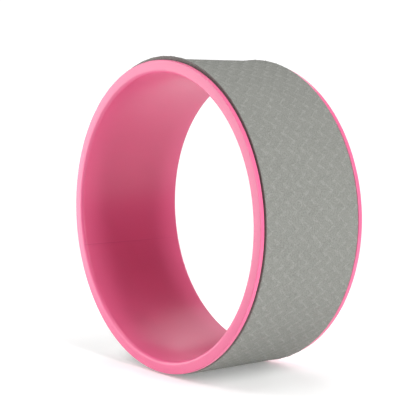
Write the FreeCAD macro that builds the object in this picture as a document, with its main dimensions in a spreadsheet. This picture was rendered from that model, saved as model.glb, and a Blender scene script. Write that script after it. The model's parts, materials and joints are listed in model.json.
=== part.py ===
import FreeCAD, Part
import math
import os

import Sketcher

# A yoga wheel: a stiff plastic hoop with a raised lip at each side, and a strip of foam matting
# that is wound round it between the lips and bonded to the floor of that channel.
# The wheel stands on its tread as it does on a floor. The origin is the centre of the wheel,
# +Y runs along the wheel's axis and +Z is up. All lengths are in millimetres.

doc = FreeCAD.newDocument("yoga_wheel")

# The driving sizes: name, value, what it measures.
SIZES = (
    ("bore_diameter", 292.0, "clear opening inside the hoop"),
    ("wheel_width", 130.0, "hoop, side face to side face"),
    ("wall_thickness", 7.3, "hoop wall under the mat"),
    ("lip_height", 5.45, "lip above the channel floor"),
    ("lip_width", 4.7, "lip, side face to its inner flank"),
    ("bore_edge_radius", 4.0, "rounding from the side face into the bore"),
    ("lip_edge_radius", 0.7, "rounding from the side face onto the lip"),
    ("lip_flank_radius", 0.8, "rounding from the lip down its inner flank"),
    ("channel_corner_radius", 1.0, "fillet between the lip's flank and the channel floor"),
    ("film_thickness", 0.3, "bonding film under the mat"),
    ("film_clearance", 0.2, "room on each face of the film, which keeps curved faces apart"),
    ("mat_thickness", 6.0, "foam mat"),
    ("mat_side_gap", 1.5, "open groove between the lip and the mat's edge"),
    ("flare_width", 12.0, "edge of the mat that is not bonded and curls outwards"),
    ("flare_height", 1.0, "how far that edge stands off"),
    ("mat_joint_gap", 0.4, "gap where the two ends of the strip butt together"),
)
sheet = doc.addObject("Spreadsheet::Sheet", "Sizes")
for row, (alias, value, meaning) in enumerate(SIZES, start=1):
    sheet.set(f"A{row}", meaning)
    sheet.set(f"B{row}", str(value))
    sheet.setAlias(f"B{row}", alias)
doc.recompute()
size = {alias: sheet.get(alias) for alias, value, meaning in SIZES}

# Sums of the sizes, as the sheet's formulas and as numbers for the first draft of each outline.
FLOOR_RADIUS = "(Sizes.bore_diameter / 2 + Sizes.wall_thickness)"
FILM_RADIUS = f"({FLOOR_RADIUS} + Sizes.film_clearance)"
MAT_RADIUS = f"({FILM_RADIUS} + Sizes.film_thickness + Sizes.film_clearance)"
TREAD_RADIUS = f"({MAT_RADIUS} + Sizes.mat_thickness)"
BONDED_WIDTH = "(Sizes.wheel_width - 2 * (Sizes.lip_width + Sizes.mat_side_gap + Sizes.flare_width))"
bore_radius = size["bore_diameter"] / 2
floor_radius = bore_radius + size["wall_thickness"]
lip_radius = floor_radius + size["lip_height"]
film_radius = floor_radius + size["film_clearance"]
film_top_radius = film_radius + size["film_thickness"]
mat_radius = film_top_radius + size["film_clearance"]
tread_radius = mat_radius + size["mat_thickness"]
half_width = size["wheel_width"] / 2
flank_side = half_width - size["lip_width"]
bonded_side = flank_side - size["mat_side_gap"] - size["flare_width"]

ORIGIN = -1
ACROSS_AXIS = -1
START, END, CENTRE = range(1, 4)


def new_body(label):
    """An empty body whose label names the piece."""
    body = doc.addObject("PartDesign::Body", label)
    body.Label = label
    return body


def section_sketch(body):
    """A sketch of the section through the wheel's axis: across is the radius, up is the width."""
    sketch = body.newObject("Sketcher::SketchObject", body.Label + "_section")
    planes = [plane for plane in body.Origin.OriginFeatures if plane.Role == "XY_Plane"]
    sketch.AttachmentSupport = [(planes[0], "")]
    sketch.MapMode = "FlatFace"
    return sketch


def tie(sketch, kind, *where):
    """Adds one geometric constraint."""
    return sketch.addConstraint(Sketcher.Constraint(kind, *where))


def measure(sketch, name, formula, kind, *where):
    """Adds one dimension, starting from the draft's own length, and binds it to the sheet."""
    ends = [sketch.getPoint(*where[:2]), sketch.getPoint(*where[2:])]
    apart = ends[1] - ends[0]
    drafted = apart.x if kind == "DistanceX" else apart.y
    index = tie(sketch, kind, *where, drafted)
    sketch.renameConstraint(index, name)
    sketch.setExpression("Constraints." + name, formula)


def closed_outline(sketch, corners, mirrored):
    """Draws lines from corner to corner, joined end to end and upright or level as drafted.

    The mirrored lines cross the wheel's middle plane, and stay even about it."""
    points = [FreeCAD.Vector(radius, side, 0) for radius, side in corners]
    following = points[1:] + points[:1]
    for first, second in zip(points, following):
        sketch.addGeometry(Part.LineSegment(first, second))
    for index, (first, second) in enumerate(zip(points, following)):
        tie(sketch, "Coincident", index, END, (index + 1) % len(points), START)
        if index in mirrored:
            tie(sketch, "Symmetric", index, START, index, END, ACROSS_AXIS)
        else:
            tie(sketch, "Vertical" if first.x == second.x else "Horizontal", index)


def revolve(body, sketch, formula=None):
    """Turns the section about the wheel's axis, a full turn or an angle split evenly about +X."""
    turned = body.newObject("PartDesign::Revolution", body.Label + "_turned")
    turned.Profile = sketch
    turned.ReferenceAxis = (sketch, ["V_Axis"])
    turned.Angle = 360
    if formula:
        turned.Midplane = True
        turned.setExpression("Angle", formula)
    doc.recompute()


def round_edges(body, name, radius, side, alias):
    """Rounds the circular edges that lie at this radius and this far to either side."""
    base = body.Tip
    near = Part.Precision.confusion() * size["wheel_width"]
    chosen = []
    for number, edge in enumerate(base.Shape.Edges, start=1):
        spot = edge.valueAt((edge.FirstParameter + edge.LastParameter) / 2)
        off_radius = abs(math.hypot(spot.x, spot.z) - radius)
        off_side = abs(abs(spot.y) - side)
        if isinstance(edge.Curve, Part.Circle) and off_radius < near and off_side < near:
            chosen.append(f"Edge{number}")
    rounded = body.newObject("PartDesign::Fillet", f"{body.Label}_{name}")
    rounded.Base = (base, chosen)
    rounded.setExpression("Radius", "Sizes." + alias)
    doc.recompute()


# The hoop: one plastic profile, bore wall, two side faces and the channel between its lips.
hoop = new_body("hoop")
profile = section_sketch(hoop)
LIP, FLOOR, FAR_LIP, BORE = range(1, 8, 2)
closed_outline(profile, (
    (bore_radius, -half_width),
    (lip_radius, -half_width),
    (lip_radius, -flank_side),
    (floor_radius, -flank_side),
    (floor_radius, flank_side),
    (lip_radius, flank_side),
    (lip_radius, half_width),
    (bore_radius, half_width),
), (FLOOR, BORE))
tie(profile, "Vertical", LIP, START, FAR_LIP, START)
measure(profile, "bore", "Sizes.bore_diameter / 2", "DistanceX", ORIGIN, START, BORE, END)
measure(profile, "wall", "Sizes.wall_thickness", "DistanceX", BORE, END, FLOOR, START)
measure(profile, "lip_rise", "Sizes.lip_height", "DistanceX", FLOOR, START, LIP, END)
measure(profile, "width", "Sizes.wheel_width", "DistanceY", BORE, END, BORE, START)
measure(profile, "lip_land", "Sizes.lip_width", "DistanceY", LIP, START, LIP, END)
revolve(hoop, profile)
round_edges(hoop, "bore_edges", bore_radius, half_width, "bore_edge_radius")
round_edges(hoop, "lip_edges", lip_radius, half_width, "lip_edge_radius")
round_edges(hoop, "lip_flanks", lip_radius, flank_side, "lip_flank_radius")
round_edges(hoop, "channel_corners", floor_radius, flank_side, "channel_corner_radius")

# The bonding film: it covers the channel floor as far as the mat lies flat.
bonding_film = new_body("bonding_film")
film = section_sketch(bonding_film)
OUTSIDE, INSIDE = range(1, 4, 2)
closed_outline(film, (
    (film_radius, -bonded_side),
    (film_top_radius, -bonded_side),
    (film_top_radius, bonded_side),
    (film_radius, bonded_side),
), (INSIDE,))
measure(film, "inside", FILM_RADIUS, "DistanceX", ORIGIN, START, INSIDE, END)
measure(film, "thickness", "Sizes.film_thickness", "DistanceX", INSIDE, END, OUTSIDE, START)
measure(film, "width", BONDED_WIDTH, "DistanceY", INSIDE, END, INSIDE, START)
revolve(bonding_film, film)

# The mat: a strip of even thickness. Bending it round the hoop curls its free edges outwards,
# so each edge is a pair of arcs about one centre outside the tread.
mat = new_body("mat")
strip = section_sketch(mat)
curl_radius = (size["flare_width"] ** 2 + size["flare_height"] ** 2) / (2 * size["flare_height"])
curl_angle = math.asin(size["flare_width"] / curl_radius)
tread_curl_radius = curl_radius - size["mat_thickness"]


def flat_line(radius, first_side, second_side):
    """A straight stretch of the strip's face."""
    first = FreeCAD.Vector(radius, first_side, 0)
    return Part.LineSegment(first, FreeCAD.Vector(radius, second_side, 0))


def curl_arc(side, arc_radius):
    """The curled part of one face: it leaves the flat part at the side where its bond ends."""
    centre = FreeCAD.Vector(mat_radius + curl_radius, side, 0)
    circle = Part.Circle(centre, FreeCAD.Vector(0, 0, 1), arc_radius)
    angles = (math.pi - curl_angle, math.pi) if side > 0 else (math.pi, math.pi + curl_angle)
    return Part.ArcOfCircle(circle, *angles)


def cut_end(inner, outer, at_start):
    """The strip's cut edge, from its bonded face to its tread."""
    if at_start:
        return Part.LineSegment(inner.StartPoint, outer.StartPoint)
    return Part.LineSegment(outer.EndPoint, inner.EndPoint)


back_curls = curl_arc(bonded_side, curl_radius), curl_arc(-bonded_side, curl_radius)
tread_curls = curl_arc(bonded_side, tread_curl_radius), curl_arc(-bonded_side, tread_curl_radius)
BACK, BACK_CURL, EDGE, TREAD_CURL, TREAD, LOW_TREAD_CURL, LOW_EDGE, LOW_BACK_CURL = range(8)
strip.addGeometry([
    flat_line(mat_radius, -bonded_side, bonded_side),
    back_curls[0],
    cut_end(back_curls[0], tread_curls[0], True),
    tread_curls[0],
    flat_line(tread_radius, bonded_side, -bonded_side),
    tread_curls[1],
    cut_end(back_curls[1], tread_curls[1], False),
    back_curls[1],
])
tie(strip, "Tangent", BACK, END, BACK_CURL, END)
tie(strip, "Tangent", BACK, START, LOW_BACK_CURL, START)
tie(strip, "Tangent", TREAD, START, TREAD_CURL, END)
tie(strip, "Tangent", TREAD, END, LOW_TREAD_CURL, START)
tie(strip, "Coincident", BACK_CURL, START, EDGE, START)
tie(strip, "Coincident", EDGE, END, TREAD_CURL, START)
tie(strip, "Coincident", LOW_TREAD_CURL, END, LOW_EDGE, START)
tie(strip, "Coincident", LOW_EDGE, END, LOW_BACK_CURL, END)
tie(strip, "Coincident", BACK_CURL, CENTRE, TREAD_CURL, CENTRE)
tie(strip, "Coincident", LOW_BACK_CURL, CENTRE, LOW_TREAD_CURL, CENTRE)
tie(strip, "PointOnObject", BACK_CURL, CENTRE, EDGE)
tie(strip, "PointOnObject", LOW_BACK_CURL, CENTRE, LOW_EDGE)
tie(strip, "Symmetric", BACK, START, BACK, END, ACROSS_AXIS)
tie(strip, "Vertical", TREAD)
tie(strip, "Equal", BACK_CURL, LOW_BACK_CURL)
measure(strip, "back", MAT_RADIUS, "DistanceX", ORIGIN, START, BACK, START)
measure(strip, "bonded", BONDED_WIDTH, "DistanceY", BACK, START, BACK, END)
measure(strip, "thickness", "Sizes.mat_thickness", "DistanceX", BACK, END, TREAD, START)
measure(strip, "flare_width", "Sizes.flare_width", "DistanceY", BACK, END, BACK_CURL, START)
measure(strip, "flare_rise", "Sizes.flare_height", "DistanceX", BACK, END, BACK_CURL, START)
measure(strip, "low_flare_rise", "Sizes.flare_height", "DistanceX", BACK, START, LOW_BACK_CURL, END)
revolve(mat, strip, f"360 - 360 * Sizes.mat_joint_gap / (2 * pi * {TREAD_RADIUS})")

doc.recompute()
pieces = (hoop, bonding_film, mat)
for item in doc.Objects:
    if "Invalid" in item.State or "Error" in item.State:
        raise RuntimeError(f"{item.Label} did not rebuild: {item.State}")
for piece in pieces:
    if piece.Shape.isNull() or not piece.Shape.isValid() or len(piece.Shape.Solids) != 1:
        raise RuntimeError(f"{piece.Label} is not one sound solid")

os.makedirs("parts", exist_ok=True)
for piece in pieces:
    piece.Shape.exportStep(f"parts/{piece.Label}.step")
    box = piece.Shape.optimalBoundingBox()
    print(f"{piece.Label}: {box.XLength:.2f} x {box.YLength:.2f} x {box.ZLength:.2f} mm, "
          f"{piece.Shape.Volume:.0f} cubic mm")
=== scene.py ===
import json
from math import cos, radians, sin, sqrt, tau

import bmesh
import bpy
from bpy.props import FloatProperty, FloatVectorProperty, IntProperty, PointerProperty
from bpy.types import NodeSocket, Operator, Panel, PropertyGroup
from mathutils import Matrix, Vector


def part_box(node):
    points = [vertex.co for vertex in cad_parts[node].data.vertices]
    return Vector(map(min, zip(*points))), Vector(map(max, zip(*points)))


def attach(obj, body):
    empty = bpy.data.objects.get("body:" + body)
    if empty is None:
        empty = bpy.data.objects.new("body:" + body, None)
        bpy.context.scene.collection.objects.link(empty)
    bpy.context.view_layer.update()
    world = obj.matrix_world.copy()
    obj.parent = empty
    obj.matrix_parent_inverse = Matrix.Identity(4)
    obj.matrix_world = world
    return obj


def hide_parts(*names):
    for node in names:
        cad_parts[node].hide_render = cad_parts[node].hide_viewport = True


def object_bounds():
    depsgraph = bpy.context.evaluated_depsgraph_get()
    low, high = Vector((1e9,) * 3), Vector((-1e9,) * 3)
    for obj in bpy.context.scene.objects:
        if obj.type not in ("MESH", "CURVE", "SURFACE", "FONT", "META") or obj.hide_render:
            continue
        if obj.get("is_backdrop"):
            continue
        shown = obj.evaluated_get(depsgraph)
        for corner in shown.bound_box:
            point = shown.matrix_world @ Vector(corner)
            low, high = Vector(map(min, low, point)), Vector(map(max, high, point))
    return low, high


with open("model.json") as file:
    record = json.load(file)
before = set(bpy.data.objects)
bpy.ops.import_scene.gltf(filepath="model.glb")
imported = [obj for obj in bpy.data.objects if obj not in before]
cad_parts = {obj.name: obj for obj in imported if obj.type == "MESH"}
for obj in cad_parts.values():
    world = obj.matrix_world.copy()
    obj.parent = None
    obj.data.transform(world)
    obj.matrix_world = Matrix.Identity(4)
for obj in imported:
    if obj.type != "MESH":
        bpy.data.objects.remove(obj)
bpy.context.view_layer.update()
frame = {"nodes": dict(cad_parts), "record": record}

bl_info = {
    "name": "Yoga Wheel",
    "version": (1, 0, 0),
    "blender": (4, 5, 0),
    "location": "3D View > Sidebar > Yoga Wheel",
    "description": "Dresses a packed yoga wheel: moulded hoop, embossed mat, bonding film and studio",
    "category": "Add Mesh",
}

MM = 0.001
BODY = "root"
HOOP_LOW, HOOP_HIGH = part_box("hoop")
MAT_LOW, MAT_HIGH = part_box("mat")
MOUNTS = {mount["name"]: mount for mount in frame["record"]["mounts"]}

# One repeat of the emboss in shares of its pitch, round the wheel and across it: the two
# sides of a zigzag rib from one bend to the next. On the outside of each bend the rib
# swells into a three-cornered web, and what lies between two ribs is a recessed brick.
RIB_NEAR_SIDE = ((0, -0.2), (0.05, 0.02), (0.48, 0.553), (0.76, 0.242), (0.69, 0.06), (1, -0.2))
RIB_FAR_SIDE = ((0, 0.038), (0.26, 0.358), (0.26, 0.54), (0.48, 0.79), (0.54, 0.584), (1, 0.038))
# Cuts through the rib's own corners, so that every face is short enough to bend.
REPEAT_CUTS = (0.26, 0.48, 0.76)
# A pocket's wall in three steps, as shares of its run and of its depth.
WALL_STEPS = ((0.3, 0.2), (0.4, 0.6), (0.3, 0.2))
# Where the emboss starts, in shares of one repeat, round the wheel and across it.
EMBOSS_START = (0.49, 0.02)
# Repeats beyond the strip's own length and width, so that the slanted sheet still covers it.
SPARE_COLUMNS, SPARE_ROWS = 5, 6
# The mat's edges are rounded at these angles of a quarter turn.
EDGE_TURNS = (0, 30, 55, 75)
# How soon the lift of the mat's edges dies away beside the top and the foot.
LIFT_POWER = 4
# Steps across each strip of the mat that lifts, round its back, round the hoop and round an edge of it.
FLARE_STEPS, BACK_STEPS, HOOP_STEPS, EDGE_STEPS = 4, 240, 288, 6
# The weld's painted shade is darkest at the near side and fades towards the far one.
WELD_SHADE_NEAR, WELD_SHADE_FAR = 1.0, 0.2
# Share of the bore's rounded edges that the weld runs onto.
WELD_REACH = 0.6
# Faces that meet at more than this angle keep a sharp edge between them.
SHARP_ANGLE = radians(50)
# A point this near a cut lies on it, and points this near each other are one, in metres.
ON_CUT, SAME_POINT = 1e-7, 1e-6

# The round floor: its sides, and the share of its radius at which it starts to fade.
FLOOR_SIDES, FADE_START = 96, 0.35
# Strength of the white that the camera sees behind the wheel.
WHITE_SEEN = 1.1
# Width of the camera's sensor, in millimetres.
SENSOR_WIDTH = 36
# The lamps: azimuth and elevation as seen from the wheel, in degrees, and width and height in metres.
LAMPS = (
    ("key", -52, 0, (1.6, 1.3)),
    ("front", -20, 5, (0.6, 0.5)),
    ("boom", -30, 55, (0.5, 0.5)),
    ("strip", 90, 22, (0.5, 1.55)),
    ("top", 90, 78, (0.8, 0.8)),
    ("back", -170, 14, (0.7, 0.5)),
    ("left", -110, 8, (0.6, 0.6)),
    ("rear", -145, 38, (1.0, 0.8)),
)

# Sockets of a colour Mix node, which share their names with its other kinds.
MIX_SHARE, MIX_FIRST, MIX_SECOND, MIX_RESULT = 0, 6, 7, 2


def linear(hex_colour):
    """An sRGB hex colour as linear RGBA."""
    shares = [int(hex_colour[i:i + 2], 16) / 255 for i in (0, 2, 4)]
    light = [c / 12.92 if c <= 0.04045 else ((c + 0.055) / 1.055) ** 2.4 for c in shares]
    return (*light, 1.0)


def length(name, description, default):
    """A length property, in metres."""
    return FloatProperty(name=name, description=description, default=default, unit="LENGTH", precision=5)


def turn(name, description, default):
    """An angle property, given in degrees."""
    return FloatProperty(name=name, description=description, default=radians(default), unit="ROTATION")


def colour(name, description, hex_colour):
    """A colour property."""
    return FloatVectorProperty(
        name=name,
        description=description,
        default=linear(hex_colour),
        size=4,
        subtype="COLOR",
        min=0,
        max=1,
    )


def power(name, description, default):
    """A lamp's power, in watts."""
    return FloatProperty(name=name, description=description, default=default, min=0, unit="POWER")


class YOGA_WHEEL_PG_hoop(PropertyGroup):
    """Sizes and colours of the rigid hoop"""

    bore_radius: length("Bore radius", "Radius of the inner wall", MOUNTS["bore"]["dims"]["r_mm"] * MM)
    width: length("Width", "Width of the hoop along its axis", HOOP_HIGH.y - HOOP_LOW.y)
    lip_radius: length("Lip radius", "Radius of the lips that hold the mat", HOOP_HIGH.x)
    wall: length("Wall", "Thickness of the wall under the mat", 7.3 * MM)
    lip_width: length("Lip width", "Thickness of each lip along the axis", 4.7 * MM)
    bore_edge: length("Bore edge", "Rounding where the inner wall meets a side face", 4.0 * MM)
    lip_edge: length("Lip edge", "Rounding of a lip's outer edge", 0.7 * MM)
    lip_flank: length("Lip flank", "Rounding of a lip's edge beside the mat", 0.8 * MM)
    channel_corner: length("Channel corner", "Rounding at the foot of a lip", 1.0 * MM)
    weld_angle: turn("Weld angle", "Place of the weld, from +X towards +Z", 196.2)
    weld_width: length("Weld width", "Width of the weld's groove", 0.8 * MM)
    weld_depth: length("Weld depth", "Depth of the weld's groove", 0.08 * MM)
    plastic: colour("Plastic", "Colour of the moulded ABS", "E76C95")
    plastic_deep: colour("Deep plastic", "Colour of the ABS in its faint flow clouds", "E56993")
    # Weld shade: a darker pink painted along the weld as the shade of its groove.
    weld_shade: colour("Weld line", "Colour of the ABS along the weld", "CF5B83")


class YOGA_WHEEL_PG_mat(PropertyGroup):
    """Sizes and colours of the embossed mat"""

    tread_radius: length("Tread radius", "Radius of the mat's outer face", -MOUNTS["tread"]["pos_m"][2])
    thickness: length("Thickness", "Thickness of the mat", 6.0 * MM)
    width: length("Width", "Width of the mat along the axis", MAT_HIGH.y - MAT_LOW.y)
    joint_gap: length("Joint gap", "Gap between the mat's two ends", 0.4 * MM)
    repeats: IntProperty(name="Repeats", description="Repeats of the emboss round the wheel", default=59)
    pitch: length("Pitch", "Spacing of the zigzag ribs across the mat", 15.747 * MM)
    slant: turn("Slant", "Turn of the emboss against the cut strip", -0.66)
    relief: length("Relief", "Height of the ribs above the pockets", 0.25 * MM)
    wall_run: length("Wall run", "Width of a pocket's sloping wall", 0.5 * MM)
    edge_round: length("Edge rounding", "Rounding of the tread's two edges", 1.0 * MM)
    flare_width: length("Flare width", "Width of the strip along each edge that lifts", 14.0 * MM)
    near_lift: length("Near lift", "Lift of the near edge half way up the wheel", 0.4 * MM)
    near_lift_top: length("Near lift, top", "Lift of the near edge at the top", 3.3 * MM)
    near_lift_foot: length("Near lift, foot", "Lift of the near edge where the wheel stands", -0.6 * MM)
    far_lift: length("Far lift", "Lift of the far edge half way up the wheel", 0.1 * MM)
    far_lift_top: length("Far lift, top", "Lift of the far edge at the top", 1.6 * MM)
    far_lift_foot: length("Far lift, foot", "Lift of the far edge where the wheel stands", 0.6 * MM)
    # The rib and pocket colours differ partly by the skins' own tone and partly by painted shade in the
    # recessed pockets.
    rib: colour("Rib", "Colour of the smooth rib tops", "92938E")
    pocket: colour("Pocket", "Colour of the pockets' rough skin", "8A8B86")
    speck: colour("Speck", "Colour of the foam's fine cells", "70716C")


class YOGA_WHEEL_PG_stage(PropertyGroup):
    """Camera, floor and lamps"""

    azimuth: turn("Azimuth", "Camera's turn from the near side towards +X", 52.017)
    elevation: turn("Elevation", "Camera's height above the horizon", 5.051)
    distance: length("Distance", "Camera's distance from the wheel's middle", 1.26496)
    aim_right: length("Aim right", "How far the camera aims to the right of the middle", -1.538 * MM)
    aim_up: length("Aim up", "How far the camera aims above the middle", 6.232 * MM)
    lens: FloatProperty(
        name="Lens", description="Focal length in millimetres", default=104.73, unit="CAMERA"
    )
    lamp_distance: length("Lamp distance", "Distance of every lamp from the wheel's middle", 1.6)
    key: power("Key", "Wide softbox to the left of the near side, for its sheen", 23.5)
    front: power("Front", "Softbox before the near side", 3.8)
    boom: power("Boom", "Softbox high before the near side", 7.0)
    strip: power("Strip", "Tall strip softbox facing the tread", 28.0)
    top: power("Top", "Softbox overhead", 5.1)
    back: power("Back", "Softbox behind the far side", 8.0)
    left: power("Left", "Softbox behind, to the left", 10.5)
    rear: power("Rear", "Softbox high behind the far side", 4.2)
    surround: FloatProperty(
        name="Surround", description="Strength of the light from all round", default=0.05
    )
    floor: colour("Floor", "Colour of the pale floor", "F2F2F2")
    floor_glow: FloatProperty(
        name="Floor glow", description="Light of its own that lifts the floor's shadows", default=0.22
    )
    floor_radius: length("Floor radius", "Radius at which the floor has faded away", 1.1)


def direction(azimuth, elevation):
    """A direction from the wheel: azimuth from the near side towards +X, and height above the horizon."""
    return Vector((sin(azimuth) * cos(elevation), -cos(azimuth) * cos(elevation), sin(elevation)))


def add_node(tree, kind, inputs=None, **settings):
    """Adds a node, gives it its settings, and sets or links its inputs."""
    node = tree.nodes.new(kind)
    for name, value in settings.items():
        setattr(node, name, value)
    for name, value in (inputs or {}).items():
        if isinstance(value, NodeSocket):
            tree.links.new(value, node.inputs[name])
        else:
            node.inputs[name].default_value = value
    return node


def new_material(name):
    """A material with an empty node tree, and that tree."""
    material = bpy.data.materials.new(name)
    material.use_nodes = True
    material.node_tree.nodes.clear()
    return material, material.node_tree


def moulded_abs(look):
    """Injection-moulded ABS from a polished tool."""
    # An even gloss over a solid colour, with a faint orange peel, flow clouds that show mostly
    # in reflections, and painted shade along the weld line where two flows of plastic met, darker than its
    # shallow groove shades by itself.
    material, tree = new_material("moulded_abs")
    place = add_node(tree, "ShaderNodeTexCoord").outputs["Object"]
    clouds = add_node(tree, "ShaderNodeTexNoise", {"Vector": place, "Scale": 1 / (40 * MM), "Detail": 3.0})
    peel = add_node(tree, "ShaderNodeTexNoise", {"Vector": place, "Scale": 1 / (2.5 * MM), "Detail": 2.0})
    # The weld mark masks the painted shade along the weld.
    weld = add_node(tree, "ShaderNodeAttribute", attribute_name="weld").outputs["Fac"]
    body = add_node(
        tree,
        "ShaderNodeMix",
        {MIX_SHARE: clouds.outputs["Fac"], MIX_FIRST: look.plastic, MIX_SECOND: look.plastic_deep},
        data_type="RGBA",
    )
    tint = add_node(
        tree,
        "ShaderNodeMix",
        {MIX_SHARE: weld, MIX_FIRST: body.outputs[MIX_RESULT], MIX_SECOND: look.weld_shade},
        data_type="RGBA",
    )
    gloss = add_node(
        tree, "ShaderNodeMapRange", {"Value": clouds.outputs["Fac"], "To Min": 0.26, "To Max": 0.34}
    )
    bump = add_node(
        tree, "ShaderNodeBump", {"Height": peel.outputs["Fac"], "Strength": 0.04, "Distance": 0.1 * MM}
    )
    shader = add_node(
        tree,
        "ShaderNodeBsdfPrincipled",
        {
            "Base Color": tint.outputs[MIX_RESULT],
            "Roughness": gloss.outputs["Result"],
            "IOR": 1.54,
            "Specular IOR Level": 0.4,
            "Normal": bump.outputs["Normal"],
        },
    )
    add_node(tree, "ShaderNodeOutputMaterial", {"Surface": shader.outputs["BSDF"]})
    return material


def tpe_foam(look):
    """Closed-cell TPE foam with an embossed skin."""
    # Matt and slightly chalky: the rib tops are pressed smooth and the pockets keep a rough skin of fine
    # cells;
    # the pockets are painted darker than the rib tops, partly the two skins' own tone and partly painted
    # shade in the recesses; and the sheet is faintly mottled.
    material, tree = new_material("tpe_foam")
    place = add_node(tree, "ShaderNodeTexCoord").outputs["Object"]
    relief = add_node(tree, "ShaderNodeAttribute", attribute_name="relief").outputs["Fac"]
    # Real cells are about 0.2 mm across: drawn at 1.2 mm so that the render shows them.
    cells = add_node(tree, "ShaderNodeTexNoise", {"Vector": place, "Scale": 1 / (1.2 * MM), "Detail": 2.0})
    mottle = add_node(tree, "ShaderNodeTexNoise", {"Vector": place, "Scale": 1 / (22 * MM), "Detail": 2.0})
    # Pockets painted darker than rib tops: partly their skin's tone, partly painted shade in the recesses.
    skin_and_shade = add_node(
        tree,
        "ShaderNodeMix",
        {MIX_SHARE: relief, MIX_FIRST: look.pocket, MIX_SECOND: look.rib},
        data_type="RGBA",
    )
    grain = add_node(
        tree,
        "ShaderNodeMapRange",
        {"Value": cells.outputs["Fac"], "From Min": 0.35, "From Max": 0.75, "To Min": 0.0, "To Max": 0.9},
    )
    specked = add_node(
        tree,
        "ShaderNodeMix",
        {MIX_SHARE: grain.outputs["Result"], MIX_FIRST: skin_and_shade.outputs[MIX_RESULT], MIX_SECOND: look.speck},
        data_type="RGBA",
    )
    shade = add_node(
        tree, "ShaderNodeMapRange", {"Value": mottle.outputs["Fac"], "To Min": 0.96, "To Max": 1.04}
    )
    tint = add_node(
        tree,
        "ShaderNodeHueSaturation",
        {"Color": specked.outputs[MIX_RESULT], "Value": shade.outputs["Result"]},
    )
    dull = add_node(tree, "ShaderNodeMapRange", {"Value": relief, "To Min": 0.92, "To Max": 0.8})
    bump = add_node(
        tree, "ShaderNodeBump", {"Height": cells.outputs["Fac"], "Strength": 0.35, "Distance": 0.2 * MM}
    )
    shader = add_node(
        tree,
        "ShaderNodeBsdfPrincipled",
        {
            "Base Color": tint.outputs["Color"],
            "Roughness": dull.outputs["Result"],
            "IOR": 1.48,
            "Specular IOR Level": 0.3,
            "Normal": bump.outputs["Normal"],
        },
    )
    add_node(tree, "ShaderNodeOutputMaterial", {"Surface": shader.outputs["BSDF"]})
    return material


def contact_adhesive():
    """A brushed film of dried contact adhesive."""
    # Amber with a soft gloss, streaked along the brush strokes round the hoop.
    material, tree = new_material("contact_adhesive")
    place = add_node(tree, "ShaderNodeTexCoord").outputs["Object"]
    streaks = add_node(
        tree,
        "ShaderNodeMapping",
        {"Vector": place, "Scale": (1 / (12 * MM), 1 / (1.5 * MM), 1 / (12 * MM))},
    )
    brushed = add_node(tree, "ShaderNodeTexNoise", {"Vector": streaks.outputs["Vector"], "Scale": 1.0})
    tint = add_node(
        tree,
        "ShaderNodeMix",
        {MIX_SHARE: brushed.outputs["Fac"], MIX_FIRST: linear("D8CFAE"), MIX_SECOND: linear("BFB38C")},
        data_type="RGBA",
    )
    shader = add_node(
        tree,
        "ShaderNodeBsdfPrincipled",
        {"Base Color": tint.outputs[MIX_RESULT], "Roughness": 0.4, "IOR": 1.5},
    )
    add_node(tree, "ShaderNodeOutputMaterial", {"Surface": shader.outputs["BSDF"]})
    return material


def add_piece(context, name, bm, material):
    """Makes a finished piece of the wheel from a bmesh, fixed to the wheel's one body."""
    bmesh.ops.recalc_face_normals(bm, faces=bm.faces[:])
    mesh = bpy.data.meshes.new(name)
    bm.to_mesh(mesh)
    bm.free()
    mesh.shade_smooth()
    mesh.set_sharp_from_angle(angle=SHARP_ANGLE)
    mesh.materials.append(material)
    piece = bpy.data.objects.new(name, mesh)
    context.scene.collection.objects.link(piece)
    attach(piece, BODY)
    return piece


def everything(bm):
    """All of a bmesh's geometry, as its operators take it."""
    return bm.verts[:] + bm.edges[:] + bm.faces[:]


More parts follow.
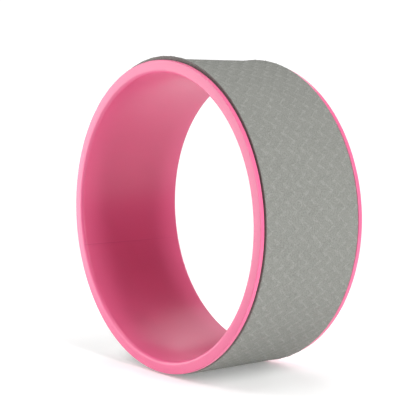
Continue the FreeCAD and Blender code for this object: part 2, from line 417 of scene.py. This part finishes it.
class YOGA_WHEEL_OT_hoop(Operator):
    """Turns the rigid hoop from its rounded section and cuts its weld line"""

    bl_idname = "yoga_wheel.hoop"
    bl_label = "Hoop"

    def execute(self, context):
        look = context.scene.yoga_wheel_hoop
        side = look.width / 2
        flank = side - look.lip_width
        channel = look.bore_radius + look.wall
        half_section = (
            (look.bore_radius, side, look.bore_edge),
            (look.lip_radius, side, look.lip_edge),
            (look.lip_radius, flank, look.lip_flank),
            (channel, flank, look.channel_corner),
        )
        section = [(r, -y, edge) for r, y, edge in half_section]
        section += [(r, y, edge) for r, y, edge in reversed(half_section)]
        bm = bmesh.new()
        corners = [bm.verts.new((r, y, 0)) for r, y, edge in section]
        bm.faces.new(corners)
        for corner, (r, y, edge) in zip(corners, section):
            bmesh.ops.bevel(
                bm,
                geom=[corner],
                offset=edge,
                affect="VERTICES",
                segments=EDGE_STEPS,
                profile=0.5,
                material=-1,
            )
        bmesh.ops.delete(bm, geom=bm.faces[:], context="FACES_ONLY")
        to_weld = Matrix.Rotation(-look.weld_angle, 3, "Y")
        bmesh.ops.rotate(bm, cent=(0, 0, 0), matrix=to_weld, verts=bm.verts[:])
        bmesh.ops.spin(
            bm,
            geom=bm.verts[:] + bm.edges[:],
            cent=(0, 0, 0),
            axis=(0, 1, 0),
            angle=tau,
            steps=HOOP_STEPS,
            use_merge=True,
        )
        self.cut_weld(bm, look, to_weld)
        piece = add_piece(context, "hoop_shell", bm, moulded_abs(look))
        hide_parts("hoop")
        return {"FINISHED"}

    def cut_weld(self, bm, look, to_weld):
        """A shallow groove along the inner wall, marked for the painted shade that the material lays along
        it.
        """
        outward = to_weld @ Vector((1, 0, 0))
        along = to_weld @ Vector((0, 0, 1))
        step = look.bore_radius * tau / HOOP_STEPS
        for edge in (-0.5, 0.5):
            beside = [f for f in bm.faces if abs(f.calc_center_median().dot(along)) < 1.5 * step]
            beside = [f for f in beside if f.calc_center_median().dot(outward) > 0]
            rims = {e for f in beside for e in f.edges}
            points = {v for f in beside for v in f.verts}
            bmesh.ops.bisect_plane(
                bm,
                geom=[*beside, *rims, *points],
                plane_co=along * look.weld_width * edge,
                plane_no=along,
                dist=ON_CUT,
            )
        weld = bm.verts.layers.float.new("weld")
        inner = look.bore_radius + look.bore_edge * WELD_REACH
        # Only the weld's middle line sinks, and its two cuts stay in the wall.
        middle = look.weld_width * 0.1
        for vert in bm.verts:
            if 0 < vert.co.dot(outward) < inner and abs(vert.co.dot(along)) < middle:
                vert.co += outward * look.weld_depth
                # The mark sets the painted shade's strength, strongest at the near side.
                vert[weld] = WELD_SHADE_FAR + (WELD_SHADE_NEAR - WELD_SHADE_FAR) * (0.5 - vert.co.y / look.width)


class YOGA_WHEEL_OT_mat(Operator):
    """Embosses a sheet of foam, cuts the strip and winds it on the hoop"""

    bl_idname = "yoga_wheel.mat"
    bl_label = "Mat"

    def execute(self, context):
        look = context.scene.yoga_wheel_mat
        bm = bmesh.new()
        self.emboss(bm, look)
        self.cut_strip(bm, look)
        self.wind(bm, look)
        piece = add_piece(context, "embossed_mat", bm, tpe_foam(look))
        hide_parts("mat")
        return {"FINISHED"}

    def emboss(self, bm, look):
        """A flat sheet of repeats, x round the wheel and y across it, with its pockets pressed in."""
        step = Vector((look.tread_radius * tau / look.repeats, look.pitch, 0))
        near, far, next_near = (
            [bm.verts.new((step.x * s, step.y * (w + row), 0)) for s, w in side]
            for side, row in ((RIB_NEAR_SIDE, 0), (RIB_FAR_SIDE, 0), (RIB_NEAR_SIDE, 1))
        )
        bm.faces.new(near + far[::-1])
        # The pockets are marked by their material index until they are pressed in.
        bm.faces.new(far + next_near[::-1]).material_index = 1
        for share in REPEAT_CUTS:
            bmesh.ops.bisect_plane(
                bm, geom=everything(bm), plane_co=(step.x * share, 0, 0), plane_no=(1, 0, 0), dist=ON_CUT
            )
        columns = look.repeats + SPARE_COLUMNS
        rows = int(look.width / look.pitch) + SPARE_ROWS
        for count, move in ((columns, (step.x, 0, 0)), (rows, (0, step.y, 0))):
            bmesh.ops.spin(
                bm,
                geom=everything(bm),
                cent=(0, 0, 0),
                axis=(0, 0, 1),
                dvec=move,
                angle=0,
                steps=count - 1,
                use_duplicate=True,
            )
        bmesh.ops.remove_doubles(bm, verts=bm.verts[:], dist=SAME_POINT)
        along, across = EMBOSS_START
        start = (step.x * (along - columns // 2), step.y * (across - rows // 2), 0)
        bmesh.ops.translate(bm, vec=start, verts=bm.verts[:])
        bmesh.ops.rotate(bm, cent=(0, 0, 0), matrix=Matrix.Rotation(look.slant, 3, "Z"), verts=bm.verts[:])
        pockets = [face for face in bm.faces if face.material_index]
        for run, drop in WALL_STEPS:
            bmesh.ops.inset_region(
                bm,
                faces=pockets,
                thickness=look.wall_run * run,
                depth=-look.relief * drop,
                use_even_offset=True,
            )
        relief = bm.verts.layers.float.new("relief")
        for vert in bm.verts:
            vert[relief] = 1 + vert.co.z / look.relief
        for face in bm.faces:
            face.material_index = 0

    def cut_strip(self, bm, look):
        """Trims the sheet to the strip and gives it its thickness and its flat back."""
        half_length = (look.tread_radius * tau - look.joint_gap) / 2
        half_width = look.width / 2
        for edge in ((half_length, 0, 0), (-half_length, 0, 0), (0, half_width, 0), (0, -half_width, 0)):
            bmesh.ops.bisect_plane(
                bm, geom=everything(bm), plane_co=edge, plane_no=edge, clear_outer=True, dist=ON_CUT
            )
        rim = [edge for edge in bm.edges if edge.is_boundary]
        skirt = bmesh.ops.extrude_edge_only(bm, edges=rim)["geom"]
        for vert in skirt:
            if isinstance(vert, bmesh.types.BMVert):
                vert.co.z = -look.thickness
        foot = [edge for edge in bm.edges if edge.is_boundary]
        back = bmesh.ops.contextual_create(bm, geom=foot)["faces"]
        back += [e for f in back for e in f.edges] + [v for f in back for v in f.verts]
        for cut in range(1, BACK_STEPS):
            place = half_length * (2 * cut / BACK_STEPS - 1)
            back = bmesh.ops.bisect_plane(
                bm, geom=back, plane_co=(place, 0, 0), plane_no=(1, 0, 0), dist=ON_CUT
            )["geom"]
        inset = [look.flare_width * (1 - cut / FLARE_STEPS) for cut in range(FLARE_STEPS)]
        inset += [look.edge_round * (1 - sin(radians(angle))) for angle in EDGE_TURNS]
        for cut in inset:
            for place in (half_width - cut, cut - half_width):
                bmesh.ops.bisect_plane(
                    bm, geom=everything(bm), plane_co=(0, place, 0), plane_no=(0, 1, 0), dist=ON_CUT
                )

    def wind(self, bm, look):
        """Rounds the tread's edges, then bends the strip round the wheel with its edges lifting."""
        half_width = look.width / 2
        near_lifts = look.near_lift, look.near_lift_top, look.near_lift_foot
        far_lifts = look.far_lift, look.far_lift_top, look.far_lift_foot
        for vert in bm.verts:
            x, y, z = vert.co
            past_round = abs(y) - half_width + look.edge_round
            if past_round > 0 and z > -look.thickness / 2:
                z -= look.edge_round - sqrt(max(0, look.edge_round ** 2 - past_round ** 2))
            angle = x / look.tread_radius
            side, top, foot = near_lifts if y < 0 else far_lifts
            lift = side + ((top if angle > 0 else foot) - side) * sin(angle) ** LIFT_POWER
            share = max(0, abs(y) - half_width + look.flare_width) / look.flare_width
            radius = look.tread_radius + z + lift * share ** 2
            vert.co = (radius * cos(angle), y, radius * sin(angle))


class YOGA_WHEEL_OT_bonding_film(Operator):
    """Gives the bonding film under the mat its brushed look"""

    bl_idname = "yoga_wheel.bonding_film"
    bl_label = "Bonding film"

    def execute(self, context):
        film = frame["nodes"]["bonding_film"]
        film.data.materials.clear()
        film.data.materials.append(contact_adhesive())
        return {"FINISHED"}


class YOGA_WHEEL_OT_stage(Operator):
    """Sets the pale floor, the soft lamps and the camera"""

    bl_idname = "yoga_wheel.stage"
    bl_label = "Stage"

    def execute(self, context):
        look = context.scene.yoga_wheel_stage
        context.scene.view_settings.view_transform = "Standard"
        self.add_floor(context, look)
        self.add_surround(context, look)
        for name, azimuth, elevation, size in LAMPS:
            lamp = self.add_lamp(context, name, size, getattr(look, name))
            away = direction(radians(azimuth), radians(elevation))
            lamp.location = away * look.lamp_distance
            lamp.rotation_euler = away.to_track_quat("Z", "Y").to_euler()
        self.add_camera(context, look)
        return {"FINISHED"}

    def add_floor(self, context, look):
        """A round floor under the wheel's lowest point, lost in the white towards its edge."""
        bm = bmesh.new()
        bmesh.ops.create_circle(bm, cap_ends=True, segments=FLOOR_SIDES, radius=look.floor_radius)
        bmesh.ops.translate(bm, vec=(0, 0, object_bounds()[0][2]), verts=bm.verts[:])
        mesh = bpy.data.meshes.new("floor")
        bm.to_mesh(mesh)
        bm.free()
        # Matt white paint: even and pale, with a faint light of its own that softens shadows.
        material, tree = new_material("painted_floor")
        place = add_node(tree, "ShaderNodeTexCoord").outputs["Object"]
        reach = add_node(tree, "ShaderNodeVectorMath", {0: place}, operation="LENGTH").outputs["Value"]
        fade = add_node(
            tree,
            "ShaderNodeMapRange",
            {
                "Value": reach,
                "From Min": look.floor_radius * FADE_START,
                "From Max": look.floor_radius,
                "To Min": 1.0,
                "To Max": 0.0,
            },
            interpolation_type="SMOOTHSTEP",
        )
        shader = add_node(
            tree,
            "ShaderNodeBsdfPrincipled",
            {
                "Base Color": look.floor,
                "Roughness": 0.9,
                "Specular IOR Level": 0.1,
                "Emission Color": look.floor,
                "Emission Strength": look.floor_glow,
                "Alpha": fade.outputs["Result"],
            },
        )
        add_node(tree, "ShaderNodeOutputMaterial", {"Surface": shader.outputs["BSDF"]})
        mesh.materials.append(material)
        floor = bpy.data.objects.new("floor", mesh)
        context.scene.collection.objects.link(floor)
        floor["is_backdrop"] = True

    def add_surround(self, context, look):
        """White all round for the camera, and a softer light from the same walls."""
        world = bpy.data.worlds.new("studio")
        context.scene.world = world
        world.use_nodes = True
        tree = world.node_tree
        tree.nodes.clear()
        seen = add_node(tree, "ShaderNodeLightPath").outputs["Is Camera Ray"]
        strength = add_node(
            tree, "ShaderNodeMapRange", {"Value": seen, "To Min": look.surround, "To Max": WHITE_SEEN}
        )
        white = add_node(
            tree,
            "ShaderNodeBackground",
            {"Color": linear("FFFFFF"), "Strength": strength.outputs["Result"]},
        )
        add_node(tree, "ShaderNodeOutputWorld", {"Surface": white.outputs["Background"]})

    def add_lamp(self, context, name, size, watts):
        """A rectangular softbox that the camera doesn't see."""
        lamp = bpy.data.lights.new(name, "AREA")
        lamp.shape = "RECTANGLE"
        lamp.size, lamp.size_y = size
        lamp.energy = watts
        box = bpy.data.objects.new(name, lamp)
        context.scene.collection.objects.link(box)
        box.visible_camera = False
        return box

    def add_camera(self, context, look):
        """The camera of the photograph."""
        back = direction(look.azimuth, look.elevation)
        right = Vector((cos(look.azimuth), sin(look.azimuth), 0))
        up = back.cross(right)
        lens = bpy.data.cameras.new("camera")
        lens.lens = look.lens
        lens.sensor_width = SENSOR_WIDTH
        camera = bpy.data.objects.new("camera", lens)
        context.scene.collection.objects.link(camera)
        camera.matrix_world = Matrix.LocRotScale(
            back * look.distance + right * look.aim_right + up * look.aim_up,
            Matrix((right, up, back)).transposed(),
            None,
        )
        context.scene.camera = camera


LOOKS = {
    "yoga_wheel_hoop": YOGA_WHEEL_PG_hoop,
    "yoga_wheel_mat": YOGA_WHEEL_PG_mat,
    "yoga_wheel_stage": YOGA_WHEEL_PG_stage,
}
OPERATORS = (
    YOGA_WHEEL_OT_hoop,
    YOGA_WHEEL_OT_mat,
    YOGA_WHEEL_OT_bonding_film,
    YOGA_WHEEL_OT_stage,
)


class YOGA_WHEEL_PT_sidebar(Panel):
    """Lists the wheel's pieces, with their sizes and colours"""

    bl_idname = "YOGA_WHEEL_PT_sidebar"
    bl_label = "Yoga Wheel"
    bl_space_type = "VIEW_3D"
    bl_region_type = "UI"
    bl_category = "Yoga Wheel"

    def draw(self, context):
        for operator in OPERATORS:
            self.layout.operator(operator.bl_idname)
        for name, group in LOOKS.items():
            column = self.layout.column(align=True)
            for field in group.__annotations__:
                column.prop(getattr(context.scene, name), field)


def register():
    for part in (*LOOKS.values(), *OPERATORS, YOGA_WHEEL_PT_sidebar):
        bpy.utils.register_class(part)
    for name, group in LOOKS.items():
        setattr(bpy.types.Scene, name, PointerProperty(type=group))


def unregister():
    for name in LOOKS:
        delattr(bpy.types.Scene, name)
    for part in (YOGA_WHEEL_PT_sidebar, *reversed(OPERATORS), *reversed(LOOKS.values())):
        bpy.utils.unregister_class(part)


def main():
    register()
    bpy.ops.yoga_wheel.hoop()
    bpy.ops.yoga_wheel.mat()
    bpy.ops.yoga_wheel.bonding_film()
    bpy.ops.yoga_wheel.stage()


if __name__ == "__main__":
    main()
